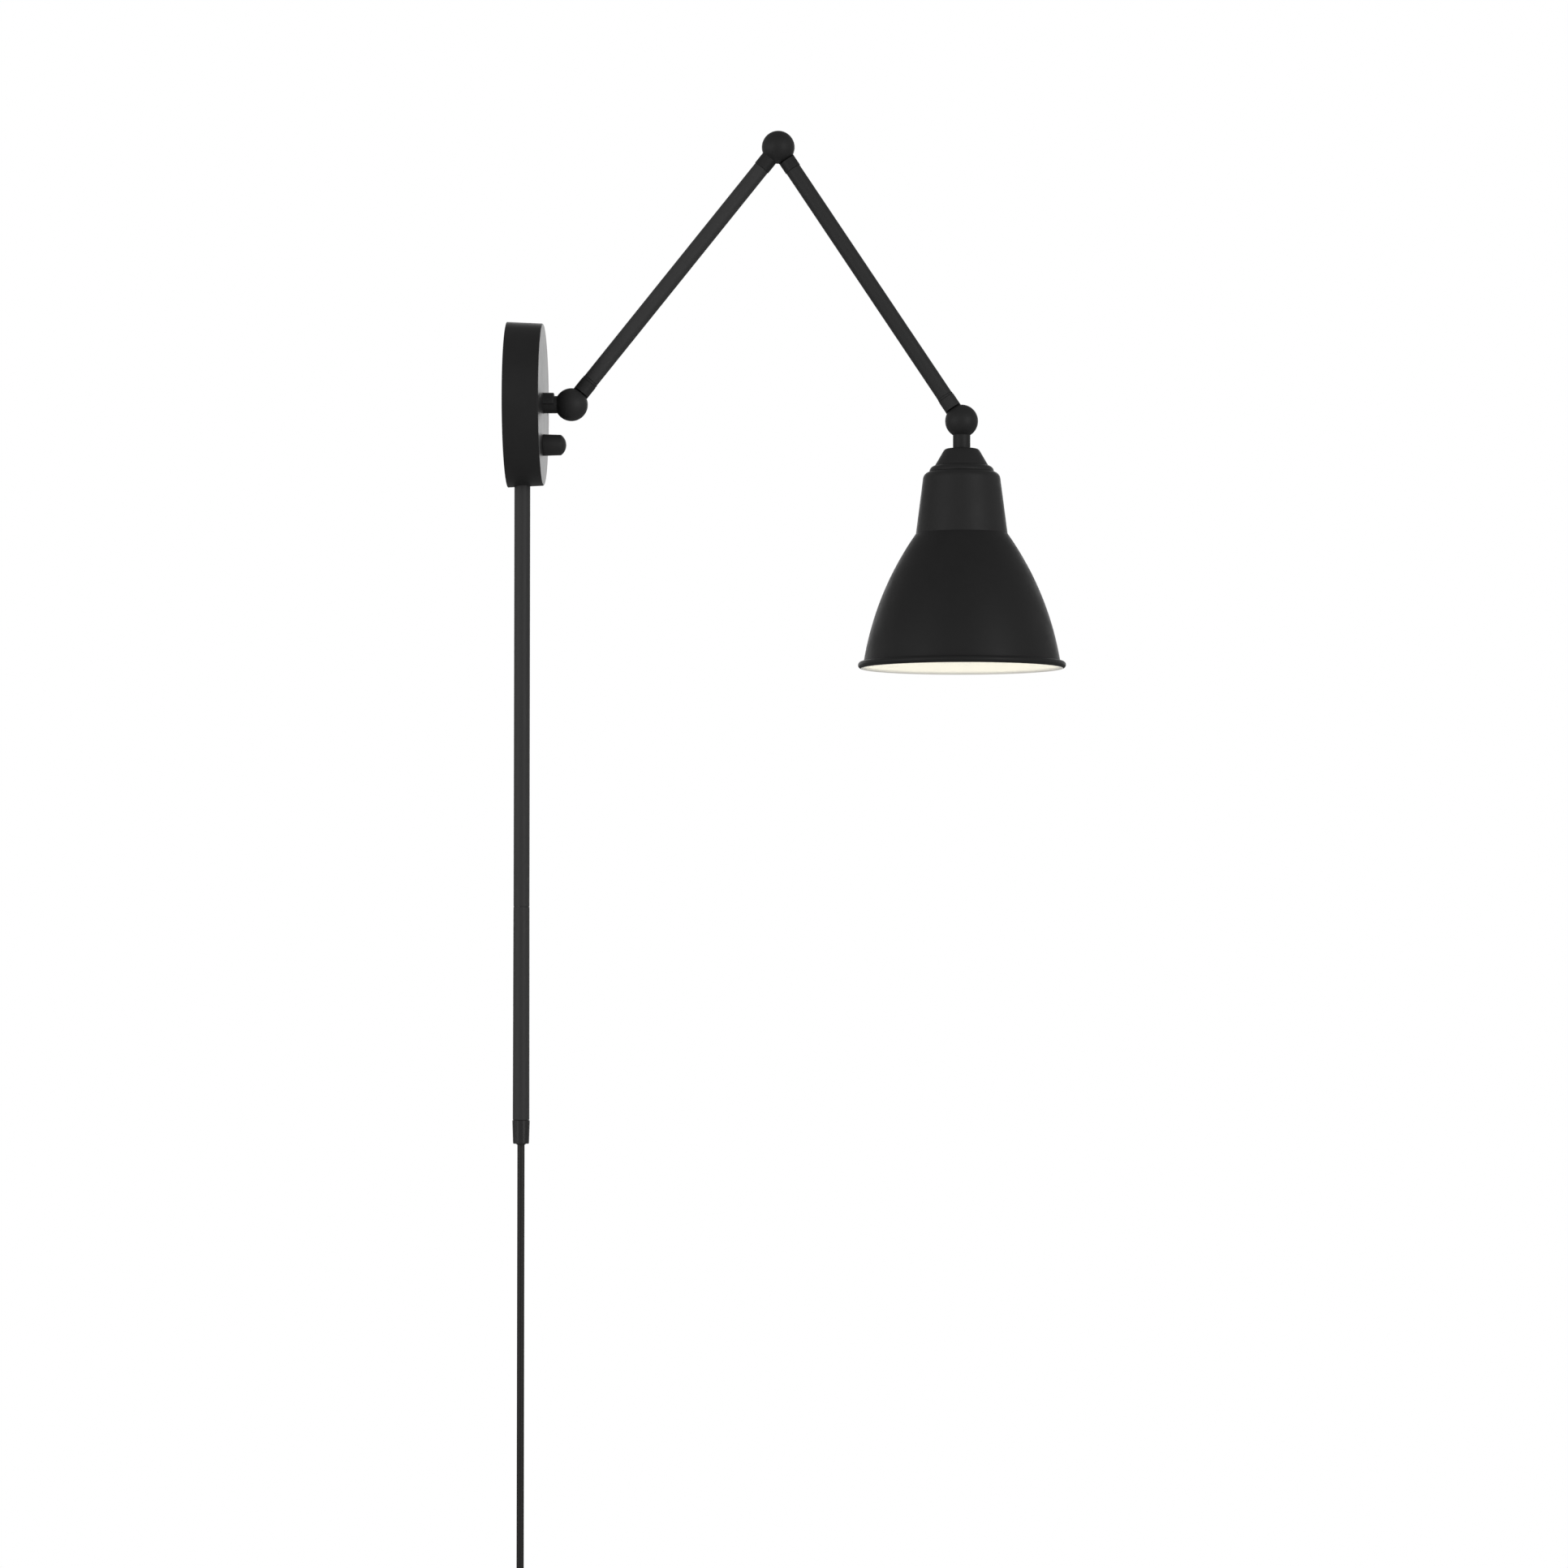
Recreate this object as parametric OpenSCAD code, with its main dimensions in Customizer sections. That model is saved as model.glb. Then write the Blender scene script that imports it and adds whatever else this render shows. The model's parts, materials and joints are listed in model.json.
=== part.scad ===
// Plug-in swing arm wall sconce: a round canopy with a rotary switch, two arms joined by
// ball knuckles, a bell shade, a cord cover tube and a cord that is stored as a coil.
// Millimetres. The origin is the centre of the mounting plane on the wall. +X points out of
// the wall, +Z points up, and both arms lie in the plane Y = 0, where the knuckles are split.

/* [Canopy] */
// Diameter of the canopy's front face
canopy_d = 126.8; // [124:0.2:132]
// How far the canopy stands out from the wall
canopy_depth = 28; // [27:0.5:32]
// Thickness of the canopy's spun steel
canopy_wall = 1.2; // [0.8:0.1:1.4]
// Distance between the canopy's two screws
canopy_screw_span = 88.9; // [84:0.1:92]
// Distance between the crossbar's two wall screws
wall_screw_span = 69.85; // [60:0.05:72]

/* [Arms] */
// Distance between the pivots of each arm
arm_length = 259; // [200:1:320]
// Outer diameter of the arm tubes
arm_tube_d = 12.5; // [12.3:0.1:12.7]
// Slope of the lower arm above the horizontal
lower_arm_slope = 51.3; // [30:0.1:75]
// Slope of the upper arm below the horizontal
upper_arm_slope = 56.4; // [35:0.1:75]

/* [Knuckles] */
// Diameter of the ball knuckles
ball_d = 25.8; // [25.4:0.1:27]
// Radius to which a neck is cut back beside the other half
neck_cut_r = 14.2; // [13.9:0.1:14.8]

/* [Shade] */
// Diameter of the bell's mouth above its rolled rim
bell_mouth_d = 152.8; // [140:0.2:170]
// Height of the bell below the socket cup
bell_depth = 98.6; // [90:0.2:115]
// Radius of the bell's curved side, seen in section
bell_curve_r = 242; // [180:1:400]
// Thickness of the spun steel of the bell and the cup
shade_wall = 0.9; // [0.6:0.1:1.1]

/* [Cord] */
// Outer diameter of the cord
cord_d = 5.7; // [5:0.1:5.8]
// Length of the cord cover below the canopy's centre line
cover_drop = 577.3; // [500:0.1:580]

/* [Hidden] */
$fn = 72;

// Colours
BLACK = [0.03, 0.03, 0.03];
ENAMEL = [0.93, 0.92, 0.86];
STEEL = [0.72, 0.72, 0.74];
BRASS = [0.78, 0.62, 0.3];
PHENOLIC = [0.1, 0.08, 0.07];
RUBBER = [0.05, 0.05, 0.05];
OPAL = [0.96, 0.95, 0.9];

// Cuts reach this far past the faces that they open
over = 1;
// Radial clearance of a shaft that turns in its bore
run_gap = 0.05;

// Canopy
canopy_r = canopy_d / 2;
canopy_draft = 1.3;
canopy_edge_r = 1;
face_x = canopy_depth;
inner_face_x = face_x - canopy_wall;
spigot_r = 8;
screw_r = 2;
screw_head_r = 4;
screw_head_h = 2.4;

// Mounting bracket
bracket_size = [2, 104, 20];
boss_r = 4;
boss_end_x = 5;
wall_hole_r = 2.4;

// Swivel stem, which runs in the stop collar
stem_r = 6.8;
stem_thread_r = 5;
stem_shoulder_x = face_x - 0.8;
stem_end_x = face_x - 13;
collar_r = 9.4;
collar_len = 8.4;
collar_spigot_len = 2.1;
stop_ring_r = [10.5, 14];
stop_ring_x = [face_x - 3.4, inner_face_x];
stop_ring_z = 3;
stop_washer_x = [face_x - 4, face_x - 2.2];
stop_washer_r = 9.8;
stop_tab_r = 13.4;
stop_tab_w = 5;
stem_washer_x = [face_x - 5, face_x - 4.1];
stem_nut_x = [face_x - 9.6, face_x - 5.1];
stem_nut_flats = 16;

// Rotary switch and its knob
knob_z = -31.7;
switch_x = [face_x - 13.5, face_x - 1.4];
switch_r = 11;
bushing_r = 5;
bushing_end_x = face_x + 3.5;
switch_nut_x = [face_x, face_x + 2];
switch_nut_flats = 12;
shaft_r = 3;
shaft_x = [face_x - 8, face_x + 11.5];
knob_x = [face_x + 0.5, face_x + 13.7, face_x + 17.9];
knob_r = [8.45, 8.05];
knob_recess_r = 7.3;
knob_recess_depth = 3.6;

// Ball knuckles: a near half, toward -Y, and a far half, joined by a pivot screw
ball_r = ball_d / 2;
split_gap = 0.1;
chamber_r = [4.6, 8.2];
chamber_depth = 7;
wire_bore_r = 2.9;
pivot_r = 2;
pivot_thread_end = 9.5;
pivot_seat = 8.8;
pivot_head_r = 3.9;
pivot_head_y = [9.45, 11.8];
pivot_pocket_r = 4.15;
pivot_washer_r = [2.1, 3.8];
NEAR = -1;
FAR = 1;

// Arms. Each neck ends at neck_len from its pivot, and its spigot fills the tube.
arm_r = arm_tube_d / 2;
arm_bore_r = arm_r - 1;
neck_r = 6.65;
ring_r = 6.5;
edge_chamfer = 0.3;
spigot_len = 12;
root_neck_len = 22.2;
root_ring_len = 2.2;
elbow_neck_len = 21;
tip_neck_len = 22;
tip_ring_len = 1.7;
lead_r = 2.4;

// Pivots at rest
wall_pivot = [face_x + 21.8, 0, 0];
elbow_pivot = wall_pivot + arm_length * [cos(lower_arm_slope), 0, sin(lower_arm_slope)];
shade_pivot = elbow_pivot + arm_length * [cos(upper_arm_slope), 0, -sin(upper_arm_slope)];

// Shade head, as heights below the shade pivot
shade_stem_r = 6.8;
shade_stem_len = 21.7;
cap_r = [13.3, 20.9];
cap_z = [-21.7, -35];
cap_edge_r = 3.5;
cap_wall = 1;
disc_r = 25.2;
disc_flat_r = 20;
disc_z = [-35, -39.5];
cup_z = [-39.5, -88];
cup_r = [30.3, 35.8];
cup_shoulder_r = 6.1;
bell_top_z = -88.2;
bell_top_r = 35.5;
bell_plate_z = -81.9;
bell_plate_hole_r = 20.2;
bell_collar_r = 33.6;
bead_r = 2.7;
bead_wall = 0.9;
bell_steps = 26;
nipple_r = [3.4, 5];
nipple_z = [-14.8, -51.5];
nipple_nut_z = [-40.5, -43.5];
nipple_nut_flats = 14;
holder_cap_z = [-45.5, -59.5];
holder_z = [-59.5, -97.5];
holder_r = 17.5;
holder_flange_r = 23;
holder_flange_z = [-79.5, -81.9];
holder_thread_r = 20;
holder_bore_r = 14.2;
holder_floor_z = -65.5;
shell_r = [13.1, 13.7];
shell_z = [-67, -93.5];
clamp_ring_r = 26;
clamp_ring_z = [-83, -86.5];
bulb_base_r = 13;
bulb_base_z = [-70.5, -94];
bulb_neck_r = 13.6;
bulb_globe_r = 30;
bulb_globe_z = -146.8;
bulb_wall = 1;

// Cord cover, a tube in front of the wall
cover_x = 11.5;
cover_r = 6.25;
cover_bore_r = 5.25;
cover_top_z = -56;
cover_seam_z = -392.8;
cover_end_z = -cover_drop;
end_cap_len = 18.4;
end_cap_z = cover_end_z + end_cap_len;
cover_foot_r = 6.5;
cover_flare_z = cover_seam_z - 120;
end_cap_r = [6.8, 6.25];
end_cap_floor = 2;
grommet_r = 3.6;
cover_nut_z = [-61.5, -58];
cover_nut_flats = 17;

// Cord: the lead inside the cover, then the free cord. It hangs straight, turns along the
// floor under the canopy, makes 6.5 turns in two layers, and ends in its plug.
cord_r = cord_d / 2;
lead_top_z = -50;
cord_rest_z = -940;
RUN = [
    [cover_x, 0, cover_end_z], [cover_x, 0, -600], [cover_x, 0, -640], [cover_x, 0, -680],
    [cover_x, 0, -720], [cover_x, 0, -760], [cover_x, 0, -800], [cover_x, 0, -840],
    [cover_x, 0, -880], [cover_x, 0, -900], [cover_x, 0, -912], [cover_x, 1.9, -921.6],
    [cover_x, 7.3, -929.8], [cover_x, 15.4, -935.2], [cover_x, 25, -937.1],
    [cover_x, 36, -937.1],
];
TAIL = [
    [95.5, 36, -931.3], [95.5, 26, -931.5], [95.5, 16, -931.9], [97.8, 4.5, -932.3],
    [104.3, -5.2, -932.7], [114, -11.7, -933], [125.5, -14, -933], [135, -14, -933],
];
coil_centre = [53.5, 36];
coil_r = [24.6, 42];
coil_layers = 2;
coil_edge_r = 2.4;
cord_sides = 10;
run_steps = 3;
tail_steps = 2;
tie_w = 8;
tie_wall = 0.5;

// Plug, lying on the floor along +X
plug_at = [135, -14, -933];
plug_relief_len = 24;
plug_relief_r = [3.6, 5.4];
plug_len = 27;
plug_size = [24, 14];
plug_corner_r = 5;
blade_len = 17;
blade_t = 1.5;
blade_w = [6.3, 7.9];
blade_gap = 12.7;
blade_root = 8;

// Points of an arc about c, from angle a to angle b
function arc(c, r, a, b, n) = [for (i = [0:n]) c + r * [cos(a + (b - a) * i / n), sin(a + (b - a) * i / n)]];

// A smooth curve through points: the spline between two of them, at t from 0 to 1
function spline(a, b, c, d, t) =
    b + (c - a) * t / 2 + (2 * a - 5 * b + 4 * c - d) * t * t / 2
    + (3 * b - a - 3 * c + d) * t * t * t / 2;
function smooth(p, steps) = concat(
    [for (i = [0:len(p) - 2], k = [0:steps - 1])
        spline(i == 0 ? 2 * p[0] - p[1] : p[i - 1], p[i], p[i + 1],
            i == len(p) - 2 ? 2 * p[i + 1] - p[i] : p[i + 2], k / steps)],
    [p[len(p) - 1]]);

function unit(v) = v / norm(v);
function heading(p, i) = unit(p[min(i + 1, len(p) - 1)] - p[max(i - 1, 0)]);
// The side direction at each point, carried along the path without twist
function sides(p, first) = [
    for (i = 0, u = first; i < len(p); i = i + 1,
        u = i < len(p) ? unit(u - (u * heading(p, i)) * heading(p, i)) : u) u
];

// A round tube of radius r swept along the path p, with n flat sides
module swept(p, r, n, first = [0, 1, 0]) {
    u = sides(p, unit(first - (first * heading(p, 0)) * heading(p, 0)));
    last = len(p) - 1;
    points = [for (i = [0:last], k = [0:n - 1])
        let (t = heading(p, i), a = 360 * k / n) p[i] + r * (cos(a) * u[i] + sin(a) * cross(t, u[i]))];
    walls = [for (i = [0:last - 1], k = [0:n - 1])
        let (a = i * n + k, b = i * n + (k + 1) % n) each [[a, b + n, b], [a, a + n, b + n]]];
    ends = [[for (k = [0:n - 1]) k], [for (k = [n - 1:-1:0]) last * n + k]];
    polyhedron(points, concat(walls, ends));
}

module lathe(profile) rotate_extrude() polygon(profile);

// Turns children that stand on +Z to point along +X
module along_x() rotate([0, 90, 0]) children();

// Turns children that stand on +Z to point at this angle above +X, in the plane Y = 0
module along(angle) rotate([0, 90 - angle, 0]) children();

// A cylinder along X between two stations
module rod_x(x, r) translate([x[0], 0, 0]) along_x() cylinder(r = r, h = x[1] - x[0]);

// A cylinder along Z between two heights, in either order
module rod_z(z, r) translate([0, 0, min(z)]) cylinder(r = r, h = abs(z[1] - z[0]));

// A hexagon of this width across its flats, standing on +Z
module hex(flats, h) cylinder(r = flats / 2 / cos(30), h = h, $fn = 6);

// The half of space on one side of Y = 0, moved back by half the split gap
module side_of(side) {
    reach = 40;
    translate([-reach, side > 0 ? split_gap / 2 : -2 * reach - split_gap / 2, -reach])
        cube(2 * reach);
}

// A stretch of tube on +Z with both outer edges broken
module tube(z, r, bore) lathe([
    [bore, z[0]], [r - edge_chamfer, z[0]], [r, z[0] + edge_chamfer],
    [r, z[1] - edge_chamfer], [r - edge_chamfer, z[1]], [bore, z[1]],
]);

// Half of a ball knuckle with its neck. The neck is cut back on the other half's side.
module knuckle_half(side, angle, r, length, spigot = spigot_len, spigot_r = arm_bore_r) {
    difference() {
        union() {
            intersection() {
                sphere(r = ball_r, $fn = 96);
                side_of(side);
            }
            along(angle) difference() {
                union() {
                    lathe([[0, 0], [r, 0], [r, length - edge_chamfer],
                        [r - edge_chamfer, length], [0, length]]);
                    if (spigot > 0) cylinder(r = spigot_r, h = length + spigot);
                }
                difference() {
                    sphere(r = neck_cut_r, $fn = 96);
                    side_of(side);
                }
            }
        }
        wire_chamber(side);
        along(angle) translate([0, 0, chamber_r[0] + 1])
            cylinder(r = wire_bore_r, h = length + spigot + over);
        rotate([-90 * side, 0, 0]) if (side > 0) {
            translate([0, 0, -over]) cylinder(r = pivot_r + run_gap, h = ball_r + over);
            translate([0, 0, pivot_seat]) cylinder(r = pivot_pocket_r, h = ball_r);
        } else cylinder(r = pivot_r, h = pivot_thread_end);
    }
}

// Ring-shaped room for the wires round the pivot
module wire_chamber(side) rotate([-90 * side, 0, 0]) difference() {
    translate([0, 0, -over]) cylinder(r = chamber_r[1], h = chamber_depth + over);
    translate([0, 0, -2 * over]) cylinder(r = chamber_r[0], h = chamber_depth + 3 * over);
}

module pivot_screw() color(STEEL) rotate([-90, 0, 0]) difference() {
    union() {
        translate([0, 0, -pivot_thread_end + 0.2])
            cylinder(r = pivot_r, h = pivot_thread_end + pivot_head_y[0]);
        lathe([[0, pivot_head_y[0]], [pivot_head_r, pivot_head_y[0]],
            [pivot_head_r, pivot_head_y[1] - 0.6], [pivot_head_r - 0.8, pivot_head_y[1]],
            [0, pivot_head_y[1]]]);
    }
    translate([0, 0, pivot_head_y[1] - 1.5]) hex(3, 3);
}

module pivot_washer() color(STEEL) rotate([-90, 0, 0])
    translate([0, 0, pivot_seat + 0.05]) difference() {
        cylinder(r = pivot_washer_r[1], h = 0.6);
        translate([0, 0, -over]) cylinder(r = pivot_washer_r[0], h = 3);
    }

// ---- Wall base ----

module canopy() {
    back_r = canopy_r + canopy_draft;
    color(BLACK) difference() {
        along_x() lathe(concat(
            [[back_r - canopy_wall, 0], [back_r, 0]],
            arc([canopy_r - canopy_edge_r, face_x - canopy_edge_r], canopy_edge_r, 3, 90, 6),
            [[0, face_x], [0, inner_face_x], [canopy_r - canopy_wall, inner_face_x]]));
        rod_x([inner_face_x - over, face_x + over], spigot_r);
        translate([0, 0, knob_z]) rod_x([inner_face_x - over, face_x + over], bushing_r + 0.2);
        for (side = [-1, 1]) translate([0, side * canopy_screw_span / 2, 0])
            screw_head(0.05, over);
        translate([cover_x, 0, -canopy_r - 3]) cylinder(r = cover_r + run_gap, h = 8);
    }
}

// Countersunk head, flush with the canopy's face, or the cut for it
module screw_head(gap, past) translate([face_x, 0, 0]) along_x() {
    translate([0, 0, -screw_head_h])
        cylinder(r1 = screw_r + gap, r2 = screw_head_r + gap, h = screw_head_h);
    if (past > 0) cylinder(r = screw_head_r + gap, h = past);
}

module canopy_screws() color(BLACK) for (side = [-1, 1])
    translate([0, side * canopy_screw_span / 2, 0]) difference() {
        union() {
            screw_head(0, 0);
            rod_x([0.6, face_x - screw_head_h], screw_r);
        }
        for (turn = [0, 90]) translate([face_x, 0, 0]) rotate([turn, 0, 0])
            cube([2.4, 1, 4.4], center = true);
    }

module mounting_bracket() color(STEEL) difference() {
    union() {
        translate([bracket_size[0] / 2, 0, 0]) cube(bracket_size, center = true);
        for (side = [-1, 1]) translate([0, side * canopy_screw_span / 2, 0])
            rod_x([0, boss_end_x], boss_r);
    }
    for (side = [-1, 1]) {
        translate([0, side * canopy_screw_span / 2, 0]) rod_x([-over, boss_end_x + over], screw_r);
        translate([0, side * wall_screw_span / 2, 0])
            rod_x([-over, bracket_size[0] + over], wall_hole_r);
    }
}

// A spigot in the canopy's face that carries the stem, with a half-round collar above it
module stop_collar() color(BLACK) difference() {
    union() {
        rod_x([face_x - collar_spigot_len, face_x], spigot_r);
        intersection() {
            translate([face_x, 0, 0]) along_x() lathe(concat([[0, 0], [collar_r, 0]],
                arc([collar_r - 1.2, collar_len - 1.2], 1.2, 0, 90, 6), [[0, collar_len]]));
            translate([face_x - over, -20, 0]) cube([20, 40, 20]);
        }
    }
    rod_x([stem_shoulder_x - 0.1, face_x + collar_len + over], stem_r + run_gap);
    rod_x([face_x - collar_spigot_len - over, face_x], stem_thread_r + run_gap);
}

module stop_ring() color(STEEL) intersection() {
    difference() {
        rod_x(stop_ring_x, stop_ring_r[1]);
        rod_x([stop_ring_x[0] - over, stop_ring_x[1] + over], stop_ring_r[0]);
    }
    translate([stop_ring_x[0] - over, -20, stop_ring_z]) cube([20, 40, 20]);
}

module switch_body() color(PHENOLIC) translate([0, 0, knob_z]) difference() {
    union() {
        rod_x(switch_x, switch_r);
        rod_x([switch_x[1] - over, bushing_end_x], bushing_r);
    }
    rod_x([shaft_x[0] - 0.3, bushing_end_x + over], shaft_r + run_gap);
}

module switch_nut() color(BRASS) translate([switch_nut_x[0], 0, knob_z]) along_x() difference() {
    hex(switch_nut_flats, switch_nut_x[1] - switch_nut_x[0]);
    translate([0, 0, -over]) cylinder(r = bushing_r, h = 5);
}

module cover_tube_upper() color(BLACK) translate([cover_x, 0, 0])
    tube([cover_seam_z, cover_top_z], cover_r, cover_bore_r);

module cover_tube_lower() color(BLACK) translate([cover_x, 0, 0]) lathe([
    [cover_bore_r, end_cap_z + 0.1], [cover_foot_r - edge_chamfer, end_cap_z + 0.1],
    [cover_foot_r, end_cap_z + 0.4], [cover_foot_r - 0.05, cover_flare_z],
    [cover_r + 0.05, cover_seam_z - 0.4], [cover_r - edge_chamfer, cover_seam_z - 0.1],
    [cover_bore_r, cover_seam_z - 0.1],
]);

module cover_coupling() color(STEEL) translate([cover_x, 0, 0])
    tube([cover_seam_z - 20, cover_seam_z + 20], cover_bore_r, cover_bore_r - 0.9);

module cover_nut() color(BRASS) translate([cover_x, 0, cover_nut_z[0]]) difference() {
    hex(cover_nut_flats, cover_nut_z[1] - cover_nut_z[0]);
    translate([0, 0, -over]) cylinder(r = cover_r, h = 8);
}

module cover_end_cap() color(BLACK) translate([cover_x, 0, 0]) lathe([
    [grommet_r - 0.4, cover_end_z], [end_cap_r[1] - 0.4, cover_end_z],
    [end_cap_r[1], cover_end_z + 0.5], [end_cap_r[0], end_cap_z - 0.4],
    [end_cap_r[0] - 0.4, end_cap_z], [cover_bore_r, end_cap_z], [cover_bore_r, end_cap_z + 8],
    [cover_bore_r - 1, end_cap_z + 8], [cover_bore_r - 1, cover_end_z + end_cap_floor],
    [grommet_r - 0.4, cover_end_z + end_cap_floor],
]);

module cord_grommet() color(RUBBER) translate([cover_x, 0, 0]) lathe([
    [cord_r + 0.02, cover_end_z - 0.8], [grommet_r - 0.3, cover_end_z - 0.8],
    [grommet_r, cover_end_z - 0.5], [grommet_r, cover_end_z],
    [grommet_r - 0.4, cover_end_z], [grommet_r - 0.4, cover_end_z + end_cap_floor + 0.6],
    [cord_r + 0.02, cover_end_z + end_cap_floor + 0.6],
]);

module cord_grip() color(RUBBER) translate([cover_x, 0, 0])
    tube([cover_top_z - 12, cover_top_z - 1], cover_bore_r, cord_r);

module mains_lead() color(RUBBER) translate([cover_x, 0, 0])
    rod_z([cover_end_z, lead_top_z], cord_r);

// Conductors inside the canopy: mains to switch and to a connector, and on to the stem
LINE_WIRE = [[cover_x, -1.3, lead_top_z], [9.6, -3, -45], [9, -5, -41], [10.5, -5.5, -37.5],
    [switch_x[0], -5.5, -36.5]];
NEUTRAL_WIRE = [[cover_x, 1.3, lead_top_z], [8.5, 6, -44], [6.5, 12, -32], [7, 17.5, -20],
    [9, 19, -10]];
SWITCHED_WIRE = [[switch_x[0], -5.5, -27.5], [9, -7, -26.5], [6.5, -12, -22], [7, -17.5, -17],
    [9, -19, -10]];
function stem_wire(side) = [[9, 15 * side, -10], [8, 13.5 * side, -15], [5.5, 9 * side, -15],
    [5, 4 * side, -8], [8, 1.4 * side, -1.5], [stem_end_x - 0.5, 1.3 * side, 0]];
WIRE_PATHS = [LINE_WIRE, NEUTRAL_WIRE, SWITCHED_WIRE, stem_wire(-1), stem_wire(1)];

module canopy_wires() color(RUBBER) for (path = WIRE_PATHS)
    swept(smooth(path, 4), 1, 8, [0.3, 1, 0.2]);

module wire_connectors() color([0.8, 0.4, 0.1]) for (side = [-1, 1])
    translate([9, 17 * side, -10]) lathe([[0, 0], [6, 0], [6.4, 1], [4.6, 17],
        [3.4, 18.5], [0, 18.5]]);

// ---- Knob ----

module knob() color(BLACK) translate([0, 0, knob_z]) {
    dome_h = knob_x[2] - knob_x[1];
    dome_r = (knob_r[1] * knob_r[1] + dome_h * dome_h) / (2 * dome_h);
    half_angle = asin(knob_r[1] / dome_r);
    difference() {
        along_x() lathe(concat(
            [[0, knob_x[0]], [knob_r[0] - 0.4, knob_x[0]], [knob_r[0], knob_x[0] + 0.4]],
            arc([0, knob_x[2] - dome_r], dome_r, 90 - half_angle, 90, 14)));
        rod_x([knob_x[0] - over, knob_x[0] + knob_recess_depth], knob_recess_r);
        rod_x([knob_x[0], shaft_x[1]], shaft_r);
    }
}

module switch_shaft() color(BRASS) translate([0, 0, knob_z]) rod_x(shaft_x, shaft_r);

// ---- Swivel stem ----

module wall_stem() color(BLACK) translate(wall_pivot) {
    shoulder = wall_pivot[0] - stem_shoulder_x;
    knuckle_half(NEAR, 180, stem_r, shoulder, stem_shoulder_x - stem_end_x, stem_thread_r);
}

module stop_washer() color(STEEL) difference() {
    union() {
        rod_x(stop_washer_x, stop_washer_r);
        translate([stop_washer_x[0], -stop_tab_w / 2, -stop_tab_r])
            cube([stop_washer_x[1] - stop_washer_x[0], stop_tab_w, stop_tab_r - stem_thread_r]);
    }
    rod_x([stop_washer_x[0] - over, stop_washer_x[1] + over], stem_thread_r);
}

module stem_washer() color(STEEL) difference() {
    rod_x(stem_washer_x, stop_washer_r - 0.8);
    rod_x([stem_washer_x[0] - over, stem_washer_x[1] + over], stem_thread_r + 0.2);
}

module stem_nut() color(BRASS) translate([stem_nut_x[0], 0, 0]) along_x() difference() {
    hex(stem_nut_flats, stem_nut_x[1] - stem_nut_x[0]);
    translate([0, 0, -over]) cylinder(r = stem_thread_r, h = 8);
}

module wall_pivot_screw() translate(wall_pivot) pivot_screw();
module wall_pivot_washer() translate(wall_pivot) pivot_washer();
module stem_lead() color(RUBBER) rod_x([stem_end_x, wall_pivot[0] - ball_r - 1], lead_r);

// ---- Lower arm ----

module lower_arm_root() color(BLACK) translate(wall_pivot)
    knuckle_half(FAR, lower_arm_slope, neck_r, root_neck_len);

module lower_arm_ring() color(BLACK) translate(wall_pivot) along(lower_arm_slope)
    tube([root_neck_len, root_neck_len + root_ring_len], ring_r, arm_bore_r);

module lower_arm_tube() color(BLACK) translate(wall_pivot) along(lower_arm_slope)
    tube([root_neck_len + root_ring_len, arm_length - elbow_neck_len], arm_r, arm_bore_r);

module elbow_near() color(BLACK) translate(elbow_pivot)
    knuckle_half(NEAR, lower_arm_slope + 180, neck_r, elbow_neck_len);

module elbow_pivot_screw() translate(elbow_pivot) pivot_screw();
module elbow_pivot_washer() translate(elbow_pivot) pivot_washer();

module lower_arm_lead() color(RUBBER) translate(wall_pivot) along(lower_arm_slope)
    rod_z([neck_cut_r + 1, arm_length - neck_cut_r - 1], lead_r);

// ---- Upper arm ----

module elbow_far() color(BLACK) translate(elbow_pivot)
    knuckle_half(FAR, -upper_arm_slope, neck_r, elbow_neck_len);

module upper_arm_tube() color(BLACK) translate(elbow_pivot) along(-upper_arm_slope)
    tube([elbow_neck_len, arm_length - tip_neck_len - tip_ring_len], arm_r, arm_bore_r);

module upper_arm_ring() color(BLACK) translate(elbow_pivot) along(-upper_arm_slope)
    tube([arm_length - tip_neck_len - tip_ring_len, arm_length - tip_neck_len], ring_r, arm_bore_r);

module upper_arm_tip() color(BLACK) translate(shade_pivot)
    knuckle_half(FAR, 180 - upper_arm_slope, neck_r, tip_neck_len);

module upper_arm_lead() color(RUBBER) translate(elbow_pivot) along(-upper_arm_slope)
    rod_z([neck_cut_r + 1, arm_length - neck_cut_r - 1], lead_r);

// ---- Shade head ----

module shade_stem() color(BLACK) translate(shade_pivot) difference() {
    knuckle_half(NEAR, -90, shade_stem_r, shade_stem_len, 0);
    rod_z([nipple_z[0], -shade_stem_len - over], nipple_r[1]);
}

module shade_pivot_screw() translate(shade_pivot) pivot_screw();
module shade_pivot_washer() translate(shade_pivot) pivot_washer();

module shade_lead() color(RUBBER) translate(shade_pivot)
    rod_z([-neck_cut_r - 1, nipple_z[1]], lead_r);

// Cone with a rounded top edge
module shade_cap() color(BLACK) translate(shade_pivot) {
    lean = atan2(cap_r[1] - cap_r[0], cap_z[0] - cap_z[1]);
    lathe(concat(
        [[nipple_r[1], cap_z[0]]],
        arc([cap_r[0] - cap_edge_r * tan(45 - lean / 2), cap_z[0] - cap_edge_r],
            cap_edge_r, 90, lean, 8),
        [[cap_r[1], cap_z[1]], [cap_r[1] - 1.2 * cap_wall, cap_z[1]],
            [cap_r[0] - cap_wall, cap_z[0] - 2.4], [nipple_r[1], cap_z[0] - 1.4]]));
}

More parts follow.
